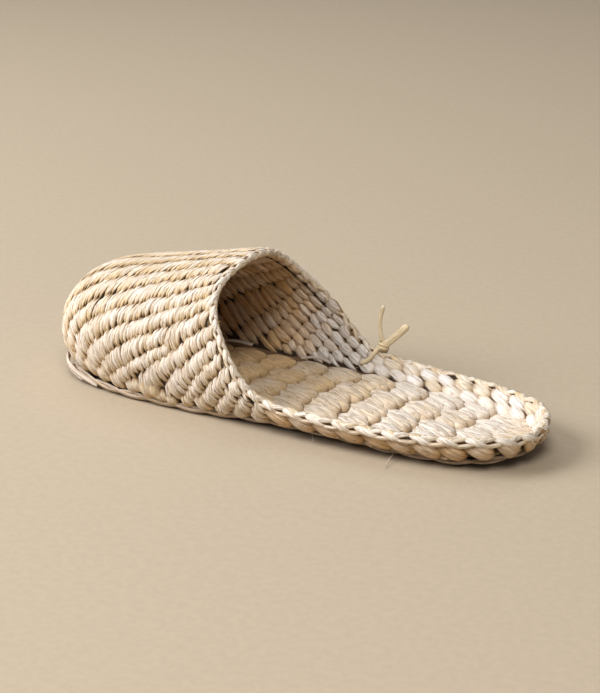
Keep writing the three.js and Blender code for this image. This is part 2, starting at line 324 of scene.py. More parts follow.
GROOVES = [
    (0, [(-128.8, 180), (-134.5, 0), (-127.6, 0), (-112.9, 0), (-95.4, 0),
         (-77.6, 0), (-59.9, 0), (-42.3, 0), (-24.5, 0)]),
    (1, [(-127, 149.2), (-131.4, 87), (-124.4, 37.7), (-110.2, 22.7), (-93.5, 16.1),
         (-76.4, 12.5), (-59.3, 10.3), (-42.1, 9.1), (-24.7, 8.7)]),
    (2, [(-121, 131.1), (-123.9, 94.1), (-117.5, 58.5), (-104.9, 39.3), (-89.6, 30.3),
         (-73.7, 25.3), (-57.7, 22), (-41.6, 19.5), (-25.4, 17.3)]),
    (3, [(-113.5, 124.4), (-115.1, 98.1), (-109.2, 71.1), (-98.1, 52.7), (-84.4, 42.8),
         (-70.1, 36.8), (-55.6, 32.6), (-41, 29.4), (-26.3, 25.9)]),
    (4, [(-106.5, 121.6), (-107.3, 100.7), (-101.7, 79.5), (-91, 64.1), (-78.2, 55.7),
         (-65.3, 49.7), (-52.3, 44.3), (-39.5, 39.2), (-26.5, 34.6)]),
    (5, [(-100.5, 120.3), (-98.4, 103.1), (-91.9, 87.8), (-82.1, 74.7), (-71, 66),
         (-59.6, 59.5), (-48.1, 54.1), (-36.7, 49.1), (-25.5, 43.3)]),
    (6, [(-92.5, 119.2), (-88.7, 105.2), (-81.8, 93.4), (-73, 83), (-63, 75.2),
         (-52.9, 68.9), (-42.8, 63.2), (-32.8, 57.7), (-23, 51.7)]),
    (6.5, [(-86, 118.8), (-80.2, 107.7), (-72.3, 99.1), (-63.7, 91.7), (-55.4, 83.1),
           (-46.5, 76.4), (-38.9, 68.2), (-30.4, 61.7), (-21.7, 55.7)]),
    (7, [(-75.5, 118.2), (-70.2, 109.1), (-63.3, 101.3), (-55.8, 94.3), (-48.3, 87.5),
         (-41.1, 80.4), (-34.4, 72.9), (-27.5, 65.7), (-19.5, 59.6)]),
    (8, [(-58, 117.5), (-53.2, 110.6), (-47.7, 104.6), (-42.4, 97.9), (-37.1, 90.9),
         (-31.8, 84.3), (-26.5, 78), (-21, 72.1), (-15.2, 66.8)]),
    (9, [(-42, 119.8), (-38.1, 114.3), (-33.9, 108.9), (-30.8, 102), (-27.4, 94.9),
         (-23.4, 88.7), (-19.3, 83.5), (-15, 78.7), (-10.9, 73.8)]),
    (10, [(-33.5, 121.7), (-30.5, 116.4), (-26.9, 111.6), (-23.7, 106), (-20.5, 100.1),
          (-17.2, 94.2), (-13.7, 88.7), (-10.3, 84.3), (-6.4, 80.5)]),
    (11, [(-23, 123.5), (-20.3, 119.4), (-17.3, 115.5), (-14.8, 110.9), (-12.5, 105.7),
          (-10.1, 100.4), (-7.5, 95.3), (-4.5, 90.5), (-1.6, 86.9)]),
    (12, [(-13, 125), (-11, 121.6), (-8.7, 118.4), (-6.5, 114.8), (-4.7, 110.8),
          (-2.8, 106.7), (-0.9, 102.4), (1.2, 98.1), (3.5, 94.2)]),
    (13, [(-2.5, 126.7), (-1, 123.6), (0.4, 120.6), (1.9, 117.5), (3.4, 114.5),
          (4.9, 111.4), (6.3, 108.3), (7.8, 105.3), (9.3, 102.2)]),
    (14, [(8, 128.5), (9, 125.9), (10, 123.4), (11, 120.8), (12, 118.2),
          (13, 115.7), (14, 113.1), (15, 110.6), (16, 108)]),
]
GROOVE_NUMBERS = np.array([number for number, line in GROOVES])


def groove_lines():
    """The grooves as smooth lines on the chart round the toe."""
    lines = []
    for _, line in GROOVES:
        x, fall = np.array(line, float).T
        chart = to_chart(station_angle(FORM_SECTIONS, x), np.radians(fall), "toe")
        lines.append(smooth_line(chart, 8))
    return np.array(lines)


GROOVE_LINES = groove_lines()


def groove_chart(number, along):
    """A place between the grooves: number runs from -14 on -Y over the crown to 14 on +Y, and
    along from 0 at the sole to 1 at the collar."""
    number, along = np.broadcast_arrays(np.asarray(number, float), np.asarray(along, float))
    row = np.interp(np.abs(number), GROOVE_NUMBERS, np.arange(len(GROOVES)))
    steps = GROOVE_LINES.shape[1]
    step = np.clip(along, 0, 1) * (steps - 1)
    i = np.clip(row.astype(int), 0, len(GROOVES) - 2)
    j = np.clip(step.astype(int), 0, steps - 2)
    u, v = (row - i)[..., None], (step - j)[..., None]
    low = GROOVE_LINES[i, j] * (1 - v) + GROOVE_LINES[i, j + 1] * v
    high = GROOVE_LINES[i + 1, j] * (1 - v) + GROOVE_LINES[i + 1, j + 1] * v
    mirror = np.stack([np.where(number < 0, -1.0, 1.0), np.ones_like(row)], -1)
    return (low * (1 - u) + high * u) * mirror


# ---- strands -----------------------------------------------------------------------------


def mode(name):
    bpy.ops.object.mode_set(mode=name)


def alone():
    """Nothing selected, in object mode."""
    if bpy.context.object and bpy.context.object.mode != "OBJECT":
        mode("OBJECT")
    bpy.ops.object.select_all(action="DESELECT")


def edit_whole(obj, operator, **options):
    """Runs an edit mode operator on all of an object, which stays selected and active."""
    alone()
    obj.select_set(True)
    bpy.context.view_layer.objects.active = obj
    mode("EDIT")
    bpy.ops.mesh.select_all(action="SELECT")
    operator(**options)
    mode("OBJECT")


def add_object(name, data):
    obj = bpy.data.objects.new(name, data)
    bpy.context.scene.collection.objects.link(obj)
    return obj


def select_where(obj, test):
    """In edit mode, only the vertices whose place passes the test are selected."""
    mode("OBJECT")
    mesh = obj.data
    mesh.polygons.foreach_set("select", [False] * len(mesh.polygons))
    mesh.edges.foreach_set("select", [False] * len(mesh.edges))
    mesh.vertices.foreach_set("select", [bool(test(v.co)) for v in mesh.vertices])
    mode("EDIT")
    bpy.ops.mesh.select_mode(type="VERT")


class Strand:
    """One short length of rush: a shape 2 long in x, 2 wide in y and 1 high in z."""

    def __init__(self, points, polygons):
        self.points = points
        self.corners = np.concatenate(polygons)
        self.sizes = np.array([len(p) for p in polygons])


def model_strand(rings, underside):
    """A strand from its thin tail at -x to its head at +x, with a pole at each end. rings are
    the x, half width and height of each ring between, and underside is the depth below."""
    parked = 4  # shaped rings wait this far off, where the next selection misses them
    alone()
    bpy.ops.mesh.primitive_uv_sphere_add(
        segments=STRAND_SIDES, ring_count=len(rings) + 1, radius=1, rotation=(0, math.pi / 2, 0)
    )
    obj = bpy.context.object
    bpy.ops.object.transform_apply(location=True, rotation=True, scale=True)
    select_where(obj, lambda co: co.z < -0.01)
    bpy.ops.transform.resize(value=(1, 1, underside), center_override=(0, 0, 0))
    count = len(rings) + 1
    for i, (place, wide, high) in enumerate(rings, 1):
        ring, radius = -math.cos(math.pi * i / count), math.sin(math.pi * i / count)
        select_where(obj, lambda co: abs(co.x - ring) < 1e-3 and co.y ** 2 + co.z ** 2 > 1e-4)
        bpy.ops.transform.resize(value=(1, wide / radius, high / radius), center_override=(ring, 0, 0))
        bpy.ops.transform.translate(value=(place - ring + parked, 0, 0))
    select_where(obj, lambda co: co.x > parked / 2)
    bpy.ops.transform.translate(value=(-parked, 0, 0))
    mode("OBJECT")
    points = np.array([v.co for v in obj.data.vertices], float)
    # the sphere's faces come in any order, so they are sorted to give the same mesh each time
    strand = Strand(points, sorted(list(p.vertices) for p in obj.data.polygons))
    bpy.data.objects.remove(obj, do_unlink=True)
    return strand


# x, half width and height of the rings
STITCH = [(-0.8, 0.6, 0.62), (-0.42, 0.92, 0.94), (0.05, 1, 1.04), (0.52, 0.84, 0.96), (0.87, 0.38, 0.52)]
OVAL = [(-0.86, 0.34, 0.45), (-0.5, 0.76, 0.85), (0, 1, 1), (0.45, 0.84, 0.92), (0.84, 0.38, 0.48)]
SPINDLE = [(-0.86, 0.24, 0.4), (-0.5, 0.66, 0.82), (0, 1, 1), (0.45, 0.78, 0.88), (0.84, 0.3, 0.42)]
PEBBLE = [(-0.86, 0.48, 0.5), (-0.5, 0.86, 0.88), (0, 1, 1), (0.45, 0.92, 0.94), (0.84, 0.5, 0.52)]
LEAF = [
    (-0.86, 0.32, 0.42), (-0.6, 0.6, 0.74), (-0.25, 0.86, 0.95),
    (0.15, 1, 1.02), (0.55, 0.96, 0.98), (0.88, 0.56, 0.62),
]


def spread(value, count):
    """One value, or count of them, as an array of count."""
    return np.broadcast_to(np.asarray(value, float), (count,))


class Weave:
    """Collects strands laid on sheets, and makes one mesh of them."""

    def __init__(self, seed):
        self.random = np.random.default_rng(seed)
        self.points, self.corners, self.sizes = [], [], []
        self.grain, self.tone, self.reach, self.edge = [], [], [], []
        self.count = 0

    def add(self, strand, points, grain, tone, reach, edge):
        """points and grain are (strands, vertices, n), and tone is one value for each strand.
        reach runs from 0 at the tail to 1 at the head, and edge from 0 on top to 1 below."""
        copies, verts = points.shape[:2]
        first = self.count + np.arange(copies)[:, None] * verts
        corners = (strand.corners[None] + first).reshape(-1)
        self.points.append(points.reshape(-1, 3))
        self.corners.append(corners)
        self.sizes.append(np.tile(strand.sizes, copies))
        self.grain.append(grain.reshape(-1, 2)[corners - self.count])
        self.tone.append(np.repeat(tone, verts))
        self.reach.append(np.broadcast_to(reach, (copies, verts)).reshape(-1))
        self.edge.append(np.broadcast_to(edge, (copies, verts)).reshape(-1))
        self.count += copies * verts

    def lay(self, strand, sheet, centre, ahead, slant, length, width, height, tone, lift=0.0,
            dive=0.0, sink=0.0, tilt=0.0, bow=0.0, shift=0.0, offset=0.0):
        """Lays a copy of the strand at each chart centre. ahead is the row's direction, and
        slant turns the strand from it, anticlockwise as the face is looked at. The tail dives,
        the head sinks, tilt raises the left side, and bow bends the strand to the left."""
        count = len(centre)
        slant, length, width, height, lift, dive, sink, tilt, bow, shift, offset = (
            spread(v, count)[:, None]
            for v in (slant, length, width, height, lift, dive, sink, tilt, bow, shift, offset)
        )
        normal = sheet(centre)[1]
        ahead = square_to(normal, ahead)
        left = np.cross(normal, ahead)
        axis = ahead * np.cos(slant) + left * np.sin(slant)
        side = np.cross(normal, axis)
        along_step = on_sheet(sheet, centre, axis)[:, None]
        side_step = on_sheet(sheet, centre, side)[:, None]
        x, y, z = strand.points.T
        along = x * length / 2 + shift
        aside = y * width / 2 + offset + bow * (1 - (2 * along / length) ** 2)
        chart = centre[:, None] + along[..., None] * along_step + aside[..., None] * side_step
        point, out = sheet(chart)
        low = dive * np.maximum(-x, 0) ** 2 + sink * np.maximum(x, 0) ** 2
        rise = z * height + lift - low + tilt * y
        points = point + out * rise[..., None]
        start = self.random.random((count, 1, 2)) * 500
        grain = np.stack([aside, along], -1) + start
        self.add(strand, points, grain, spread(tone, count), (1 + x) / 2, 1 - np.clip(z, 0, 1))

    def run(self, line, out, wide, thick, sides=STRAND_SIDES, closed=False, tone=0.5, dip=0.0):
        """A long strand along a line, with an oval section: wide across out, thick along it.
        wide, thick and dip are values or arrays along the line, and dip is 1 where the strand
        passes under another, where the rush finish paints it golden and brown as shade."""
        count = len(line)
        line, out = np.asarray(line, float), np.asarray(out, float)
        ahead = loop_ahead(line) if closed else unit(np.gradient(line, axis=0))
        out = square_to(ahead, out)
        aside = np.cross(ahead, out)
        wide, thick = spread(wide, count)[:, None, None], spread(thick, count)[:, None, None]
        turn = np.arange(sides) / sides * 2 * math.pi
        ring = (np.cos(turn)[None, :, None] * aside[:, None] * wide
                + np.sin(turn)[None, :, None] * out[:, None] * thick)
        points = (line[:, None] + ring).reshape(-1, 3)
        polygons = []
        spans = count if closed else count - 1
        for i in range(spans):
            a, b = i * sides, (i + 1) % count * sides
            for j in range(sides):
                k = (j + 1) % sides
                polygons.append([a + j, a + k, b + k, b + j])
        if not closed:
            polygons.append(list(range(sides))[::-1])
            polygons.append(list(range((count - 1) * sides, count * sides)))
        strand = Strand(points, polygons)
        lengths = lengths_along(line)
        across = np.broadcast_to((turn - math.pi / 2)[None] * wide[:, 0], (count, sides))
        grain = np.stack([across, np.broadcast_to(lengths[:, None], (count, sides))], -1)
        grain = grain.reshape(1, -1, 2) + self.random.random(2) * 500
        reach = np.broadcast_to(spread(dip, count)[:, None], (count, sides)).reshape(1, -1)
        # the side turned away from out is the underside, which the rush finish browns with dirt and
        # painted shade
        edge = np.broadcast_to(1 - np.clip(np.sin(turn), 0, 1)[None], (count, sides)).reshape(1, -1)
        self.add(strand, points[None], grain, np.array([tone]), reach, edge)

    def make(self, name, material, slot, *nodes):
        """One mesh object at the origin, with its places in metres, put under the one body in place of
        those CAD nodes, which are hidden."""
        points = np.vstack(self.points)
        # what would reach below the floor is pressed flat on it
        points[:, 2] = np.maximum(points[:, 2], FLOOR_GAP)
        corners, sizes = np.concatenate(self.corners), np.concatenate(self.sizes)
        mesh = bpy.data.meshes.new(name)
        mesh.vertices.add(len(points))
        mesh.vertices.foreach_set("co", (points * MM).astype(np.float32).reshape(-1))
        mesh.loops.add(len(corners))
        mesh.loops.foreach_set("vertex_index", corners.astype(np.int32))
        mesh.polygons.add(len(sizes))
        starts = np.concatenate([[0], np.cumsum(sizes)[:-1]])
        mesh.polygons.foreach_set("loop_start", starts.astype(np.int32))
        mesh.polygons.foreach_set("use_smooth", np.ones(len(sizes), bool))
        mesh.update(calc_edges=True)
        mesh.validate()
        grain = mesh.uv_layers.new(name="grain")
        grain.data.foreach_set("uv", np.vstack(self.grain).astype(np.float32).reshape(-1))
        for layer, values in (("tone", self.tone), ("reach", self.reach), ("edge", self.edge)):
            attribute = mesh.attributes.new(layer, "FLOAT", "POINT")
            attribute.data.foreach_set("value", np.concatenate(values).astype(np.float32))
        mesh.materials.append(material)
        obj = add_object(name, mesh)
        edit_whole(obj, bpy.ops.mesh.normals_make_consistent, inside=False)
        alone()
        settle(obj, nodes)
        return obj


def settle(obj, nodes):
    """Puts a piece under the one body, and hides the CAD nodes that it stands for."""
    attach(obj, ROOT)
    if nodes:
        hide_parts(*nodes)


# ---- materials ---------------------------------------------------------------------------


def new_group(name, inputs, outputs):
    """A shader node group with named sockets. Returns the group and its input and output."""
    group = bpy.data.node_groups.new(name, "ShaderNodeTree")
    for label, kind, default in inputs:
        socket = group.interface.new_socket(name=label, in_out="INPUT", socket_type=kind)
        socket.default_value = default
    for label, kind in outputs:
        group.interface.new_socket(name=label, in_out="OUTPUT", socket_type=kind)
    return group, group.nodes.new("NodeGroupInput"), group.nodes.new("NodeGroupOutput")


def new_node(tree, kind, inputs):
    """A node with its inputs linked where a socket is given, and set where a value is."""
    node = tree.nodes.new("ShaderNode" + kind)
    for key, value in inputs.items():
        if isinstance(value, bpy.types.NodeSocket):
            tree.links.new(value, node.inputs[key])
        else:
            node.inputs[key].default_value = value
    return node


def math_node(tree, operation, *values, clamp=False):
    node = new_node(tree, "Math", dict(enumerate(values)))
    node.operation = operation
    node.use_clamp = clamp
    return node.outputs[0]


def mix_colour(tree, factor, first, second):
    # the colour sockets of a mix node are its inputs 6 and 7, and its output 2
    node = new_node(tree, "Mix", {0: factor, 6: first, 7: second})
    node.data_type = "RGBA"
    return node.outputs[2]


def noise_node(tree, vector, scale, detail, rough):
    inputs = {"Vector": vector, "Scale": scale, "Detail": detail, "Roughness": rough}
    return new_node(tree, "TexNoise", inputs).outputs["Fac"]


def ramp(tree, factor, low, high):
    node = new_node(tree, "MapRange", {"Value": factor, "From Min": low, "From Max": high})
    node.interpolation_type = "SMOOTHSTEP"
    return node.outputs[0]


def rush_group():
    """Dried rush: each strand has its own tone, fibres and folds run along it, its head turns
    golden, partly in colour and partly as painted shade, its creases hold painted shade, and its
    edges are brown with dirt and painted shade. Puts out the colour, the roughness and the relief."""
    name = "dried rush"
    if name in bpy.data.node_groups:
        return bpy.data.node_groups[name]
    colours = ("Pale", "Golden", "Brown")
    shares = ("Golden And Shaded Head", "Edge Dirt And Shade", "Streaks")
    group, source, sink = new_group(
        name,
        [(label, "NodeSocketColor", (0.5, 0.5, 0.5, 1)) for label in colours]
        + [(label, "NodeSocketFloat", 0.5) for label in shares],
        [("Color", "NodeSocketColor"), ("Roughness", "NodeSocketFloat"), ("Height", "NodeSocketFloat")],
    )
    pale, golden_colour, brown, golden_and_shaded_head, edge_dirt_and_shade, streaks_and_crease_shade = (
        source.outputs[label] for label in colours + shares
    )
    uv = group.nodes.new("ShaderNodeUVMap")
    uv.uv_map = "grain"

    def attribute(layer):
        node = group.nodes.new("ShaderNodeAttribute")
        node.attribute_name = layer
        return node.outputs["Fac"]

    def grain(across, along, detail, rough):
        inputs = {"Vector": uv.outputs[0], "Scale": (across, along, 1)}
        stretched = new_node(group, "Mapping", inputs).outputs[0]
        return noise_node(group, stretched, 1.0, detail, rough)

    maths, rise, mix = (partial(f, group) for f in (math_node, ramp, mix_colour))
    tone, reach, edge = attribute("tone"), attribute("reach"), attribute("edge")
    fibres = grain(1.9, 0.1, 3.0, 0.7)
    folds = grain(0.75, 0.05, 1.0, 0.5)
    blotch = grain(0.24, 0.15, 2.0, 0.6)

    # the head turns golden, partly in the rush's own colour and partly as painted shade
    head = maths("MULTIPLY", rise(reach, 0.45, 1.0), golden_and_shaded_head)
    golden = maths("ADD", tone, maths("MULTIPLY_ADD", blotch, 0.9, -0.45))
    golden = maths("ADD", golden, head, clamp=True)
    colour = mix(golden, pale, golden_colour)

    # dry streaks, and painted shade in the creases where a fold turns over
    crease = maths("ABSOLUTE", maths("SUBTRACT", folds, 0.5))
    crease = maths("SUBTRACT", 1.0, rise(crease, 0.0, 0.035))
    streak = maths("MULTIPLY", rise(fibres, 0.48, 0.72), 0.8)
    marks = maths("MAXIMUM", maths("MULTIPLY", crease, 0.9), streak)
    colour = mix(maths("MULTIPLY", marks, streaks_and_crease_shade), colour, brown)

    # dirt and painted shade on the underside, at the tip of the head and on the tail
    dirt_and_shade = maths("ADD", rise(edge, 0.4, 0.95), rise(reach, 0.78, 1.0))
    dirt_and_shade = maths("ADD", dirt_and_shade, rise(reach, 0.34, 0.05), clamp=True)
    colour = mix(maths("MULTIPLY", dirt_and_shade, edge_dirt_and_shade), colour, brown)

    height = maths("MULTIPLY_ADD", fibres, 0.5, folds)
    height = maths("SUBTRACT", height, maths("MULTIPLY", crease, 0.25))
    group.links.new(colour, sink.inputs["Color"])
    group.links.new(maths("MULTIPLY_ADD", fibres, 0.25, 0.38), sink.inputs["Roughness"])
    group.links.new(height, sink.inputs["Height"])
    return group


def new_material(name):
    material = bpy.data.materials.new(name)
    material.use_nodes = True
    return material, material.node_tree, material.node_tree.nodes["Principled BSDF"]


# The finishes of dried rush: pale and golden colour, how golden the heads turn, partly as
# painted shade, how brown the edges are with dirt and painted shade, how strong the streaks and
# the painted shade in the creases are, and the depth of the relief in metres.
FINISHES = {
    "pale rush": ("pale", "golden", 0.95, 1.0, 0.7, 0.0007),
    "lining rush": ("bleached", "unbleached_and_shaded", 0.2, 0.9, 0.6, 0.0009),
    "golden rush": ("pale", "unbleached_and_shaded", 0.5, 1.0, 0.85, 0.0009),
    "bleached rush": ("bleached", "golden", 0.3, 0.8, 0.5, 0.0009),
    "plait rush": ("pale", "golden", 0.6, 0.8, 0.8, 0.0006),
    "footbed rush": ("pale", "footbed_golden", 0.35, 0.9, 0.85, 0.0009),
    "sole rush": ("pale", "golden", 0.4, 0.8, 0.6, 0.0009),
    "edge rush": ("pale", "golden", 0.5, 0.6, 0.6, 0.0006),
    "tie rush": ("straw", "golden", 0.3, 0.4, 0.35, 0.0005),
}


def rush_colours():
    """The scene's rush colours, by the names that FINISHES uses."""
    scene = rush()
    return {
        "pale": scene.pale, "golden": scene.golden, "brown": scene.brown, "straw": scene.straw,
        "unbleached_and_shaded": scene.unbleached_and_shaded, "footbed_golden": scene.footbed_golden, "bleached": scene.bleached,
    }


def rush_finish(name):
    """The finish of that name, made once, in the scene's rush colours."""
    if name in bpy.data.materials:
        return bpy.data.materials[name]
    pale, golden, golden_and_shaded_head, edge_dirt_and_shade, streaks_and_crease_shade, relief = FINISHES[name]
    material, tree, shader = new_material(name)
    inputs = {"Golden And Shaded Head": golden_and_shaded_head, "Edge Dirt And Shade": edge_dirt_and_shade, "Streaks": streaks_and_crease_shade}
    colours = rush_colours()
    for label, colour in (("Pale", pale), ("Golden", golden), ("Brown", "brown")):
        inputs[label] = (*colours[colour], 1)
    group = tree.nodes.new("ShaderNodeGroup")
    group.node_tree = rush_group()
    for label, value in inputs.items():
        group.inputs[label].default_value = value
    height = {"Height": group.outputs["Height"], "Distance": relief, "Strength": 1.0}
    bump = new_node(tree, "Bump", height)
    tree.links.new(group.outputs["Color"], shader.inputs["Base Color"])
    tree.links.new(group.outputs["Roughness"], shader.inputs["Roughness"])
    tree.links.new(bump.outputs["Normal"], shader.inputs["Normal"])
    shader.inputs["Specular IOR Level"].default_value = 0.45
    return material


def plain_material(name, colour, roughness):
    """One colour, mottled a little darker."""
    material, tree, shader = new_material(name)
    place = tree.nodes.new("ShaderNodeTexCoord").outputs["Object"]
    mottle = ramp(tree, noise_node(tree, place, 260.0, 3.0, 0.6), 0.3, 0.7)
    dark = tuple(c * 0.95 for c in colour)
    mixed = mix_colour(tree, mottle, (*dark, 1), (*colour, 1))
    tree.links.new(mixed, shader.inputs["Base Color"])
    shader.inputs["Roughness"].default_value = roughness
    return material


def shade_material(name, lighter=1):
    """The shaded rush behind the strands."""
    return plain_material(name, tuple(lighter * c for c in rush().core), 0.95)


# ---- sizes and colours a user may change -------------------------------------------------


def length_property(name, description, default):
    return bpy.props.FloatProperty(
        name=name, description=description, default=default, subtype="DISTANCE", unit="LENGTH"
    )


def colour_property(name, description, default):
    return bpy.props.FloatVectorProperty(
        name=name, description=description, default=default, subtype="COLOR", size=3, min=0, max=1
    )


class SlipperRush(bpy.types.PropertyGroup):
    """Colours of the dried rush."""

    pale: colour_property("Pale Rush", "Bleached outer face of a strand", (0.862, 0.766, 0.655))
    golden: colour_property("Golden Rush", "Straw coloured strands", (0.69, 0.51, 0.28))
    # the brown of the tucked ends and undersides is dirt and painted shade, that of the creases is
    # painted shade, and the dry streaks are the rush's own
    brown: colour_property("Brown Rush", "Tucked ends and dry streaks", (0.36, 0.22, 0.10))
    # partly the rush's own colour and partly painted shade, inside the vamp and on the rim's face that
    # looks down
    unbleached_and_shaded: colour_property("Unbleached And Shaded Rush", "Golden part of lining and rim", (0.72, 0.45, 0.20))
    # more of it lies under the vamp, as painted shade
    footbed_golden: colour_property("Footbed Golden Rush", "Golden part of the footbed", (0.80, 0.55, 0.28))
    bleached: colour_property("Bleached Rush", "Whitest strands, inside", (0.89, 0.815, 0.735))
    straw: colour_property("Straw", "Strands of the tie", (0.93, 0.77, 0.50))
    core: colour_property("Core", "Shaded rush behind the stitches", (0.035, 0.02, 0.01))


class SlipperWeave(bpy.types.PropertyGroup):
    """Sizes of the weave."""

    stitch: length_property("Stitch", "Spacing of the stitches along a rib", 4.1 * MM)
    puff: length_property("Puff", "Width of the first stitch of a rib, at the sole", 8 * MM)
    plait: length_property("Plait", "Spacing of the leaves of the mouth braid, on the rim", 13 * MM)
    slant: bpy.props.FloatProperty(
        name="Slant", description="Turn of a stitch from its rib", default=math.radians(58),
        subtype="ANGLE",
    )


class SlipperStage(bpy.types.PropertyGroup):
    """The floor and the camera."""

    floor: colour_property("Floor", "Plain pale floor", (0.445, 0.358, 0.25))
    lens: bpy.props.FloatProperty(
        name="Lens", description="Focal length in millimetres", default=116.0, min=20
    )


def sizes():
    return bpy.context.scene.slipper_weave


def rush():
    return bpy.context.scene.slipper_rush


# ---- the operators -----------------------------------------------------------------------


CAMERA_PLACE = (0.5039, -0.7266, 0.3446)
CAMERA_AIM = (0.001, 0, -0.008)     # from the middle of the CAD box
# soft lamps: place from the middle of the CAD box, size, power and colour
LAMPS = {
    "key": ((-0.9, 0.6, 1.4), 1.2, 9, (0.98, 1.0, 1.05)),
    "fill": ((-1.3, -1.0, 1.15), 1.1, 48, (0.98, 1.0, 1.05)),
    "front": ((0.6, -0.9, 1.5), 0.8, 18, (1.0, 1.0, 1.0)),
}


def face_along(obj, direction):
    obj.rotation_euler = direction.to_track_quat("-Z", "Y").to_euler()


class SLIPPER_OT_stage(bpy.types.Operator):
    """Lay the floor, and set the lights and the camera"""

    bl_idname = "slipper.stage"
    bl_label = "Stage"

    def execute(self, context):
        look = context.scene.slipper_stage
        middle = (Vector(CAD_BOX[0]) + Vector(CAD_BOX[1])) / 2
        camera = bpy.data.cameras.new("camera")
        camera.sensor_fit = "HORIZONTAL"
        camera.sensor_width = 36
        camera.lens = look.lens
        viewer = add_object("camera", camera)
        viewer.location = CAMERA_PLACE
        face_along(viewer, middle + Vector(CAMERA_AIM) - viewer.location)
        context.scene.camera = viewer

        alone()
        bpy.ops.mesh.primitive_plane_add(size=12, location=(0, 0, 0))
        floor = bpy.context.object
        floor.name = "floor"
        floor.data.materials.append(plain_material("floor", look.floor, 0.9))
        floor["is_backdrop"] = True

        for name, (offset, size, power, colour) in LAMPS.items():
            lamp = bpy.data.lights.new(name, "AREA")
            lamp.size = size
            lamp.energy = power
            lamp.color = colour
            light = add_object(name, lamp)
            light.location = middle + Vector(offset)
            face_along(light, -Vector(offset))

        world = bpy.data.worlds.new("studio")
        world.use_nodes = True
        background = world.node_tree.nodes["Background"].inputs
        background["Color"].default_value = (0.99, 0.98, 0.98, 1)
        background["Strength"].default_value = 0.2
        context.scene.view_settings.view_transform = "Standard"
        context.scene.world = world
        return {"FINISHED"}


class SLIPPER_OT_core(bpy.types.Operator):
    """Keep a thin shaded core of the wall, behind the stitches"""

    bl_idname = "slipper.core"
    bl_label = "Wall Core"

    def execute(self, context):
        lay_core("upper", 1.25, shade_material("core"))
        return {"FINISHED"}


def lay_core(node, shrink, material):
    """A copy of a CAD node's mesh, merged, and drawn in by so many millimetres."""
    obj = add_object(node + "_core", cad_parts[node].data.copy())
    obj.data.materials.clear()
    edit_whole(obj, bpy.ops.mesh.remove_doubles, threshold=0.01 * MM)
    modifier = obj.modifiers.new("swell", "DISPLACE")
    modifier.mid_level = 0
    modifier.strength = -shrink * MM
    bpy.ops.object.modifier_apply(modifier=modifier.name)
    alone()
    obj.data.materials.append(material)
    settle(obj, [node])


def stitch_places(weave, length, first, spacing):
    """Middles and widths of the stitches along a rib, after its first ones at the sole."""
    widths, at = list(first), sum(first)
    while at < length - spacing * 0.5:
        width = spacing * weave.random.uniform(0.82, 1.18)
        # now and then one is fatter
        if weave.random.random() < 0.07:
            width *= 1.45
        widths.append(width)
        at += width
    widths = np.array(widths)
    return np.concatenate([[0], np.cumsum(widths)[:-1]]) + widths / 2, widths


# The ribs that split on their way to the sole: the grooves beside each part, and where it
# starts and ends. Every other rib starts just over the sole's edge.
SPLIT_RIBS = {
    6: ((6, 6.5, 0.03, 0.66), (6.5, 7, 0.02, 0.62), (6, 7, 0.645, 1.0)),
    7: ((7, 7.5, 0.02, 0.17), (7.5, 8.15, 0.0, 0.22), (7, 8, 0.135, 1.0)),
    8: ((8.15, 8.6, 0.0, 0.13), (8.6, 9, 0.0, 0.11), (8, 9, 0.13, 1.0)),
}
RIBS = 14                  # on each side of the crown
RIB_START = 0.035


def lining_start(side, number):
    """Where a rib of the lining starts: at the sole round the toe, and higher up behind it."""
    if number < 7:
        return 0.0
    return 0.07 if side > 0 and number < 12 else 0.11


def vamp_lanes(inside):
    """The ribs of both sides: the side, then as in SPLIT_RIBS."""
    for side in (-1, 1):
        for number in range(RIBS):
            if inside:
                yield side, number, number + 1, lining_start(side, number), 1.0
            else:
                whole = ((number, number + 1, RIB_START, 1.0),)
                for lane in SPLIT_RIBS.get(number, whole):
                    yield side, *lane


def collar_gap(side, inside):
    """How far short of the collar a rib's last stitch ends."""
    if not inside:
        return 1.6
    return -0.6 if side > 0 else 2.2


def rib_rows(weave, sheet, inside, spacing):
    """Every rib of the vamp in turn: where its stitches lie, and how each of them varies."""
    puff = sizes().puff / MM
    random, step = weave.random, 1e-3
    for side, low, high, start, end in vamp_lanes(inside):
        middle = side * (low + high) / 2
        steps = np.linspace(start, end, 60)
        lengths = lengths_along(sheet(groove_chart(middle, steps))[0])
        length = lengths[-1]
        first = (spacing * random.uniform(0.5, 1.0),)
        # outside, a rib begins with fat stitches, and a short part of a rib is one of them
        puffs = not inside and start < 0.1 and high < RIBS - 1
        if puffs:
            first = (puff * random.uniform(0.8, 1.05), puff * random.uniform(0.5, 0.7))
            if end < 0.3:
                first = (length * 0.95,)
        reach = length - collar_gap(side, inside) if end == 1.0 else length
        middles, widths = stitch_places(weave, reach, first, spacing)
        along = np.clip(np.interp(middles, lengths, steps), 0.002, 0.998)
        count = len(along)
        shift = random.normal(0, 0.04, count) * (high - low)
        ahead = sheet(groove_chart(middle, along + step))[0]
        ahead = unit(ahead - sheet(groove_chart(middle, along - step))[0])
        across = sheet(groove_chart(side * high, along))[0] - sheet(groove_chart(side * low, along))[0]
        across -= ahead * (across * ahead).sum(-1, keepdims=True)
        fat = np.zeros(count)
        if puffs:
            fat[:2] = (1, 0.5)[:count]
        yield SimpleNamespace(
            middle=middle, count=count, widths=widths, ahead=ahead, fat=fat,
            centre=groove_chart(middle + shift, along),
            pitch=np.linalg.norm(across, axis=-1),
            size=random.uniform(0.95, 1.07, count),
            rise=random.uniform(0.9, 1.12, count),
            tone=random.uniform(-0.15, 0.25, count),
        )


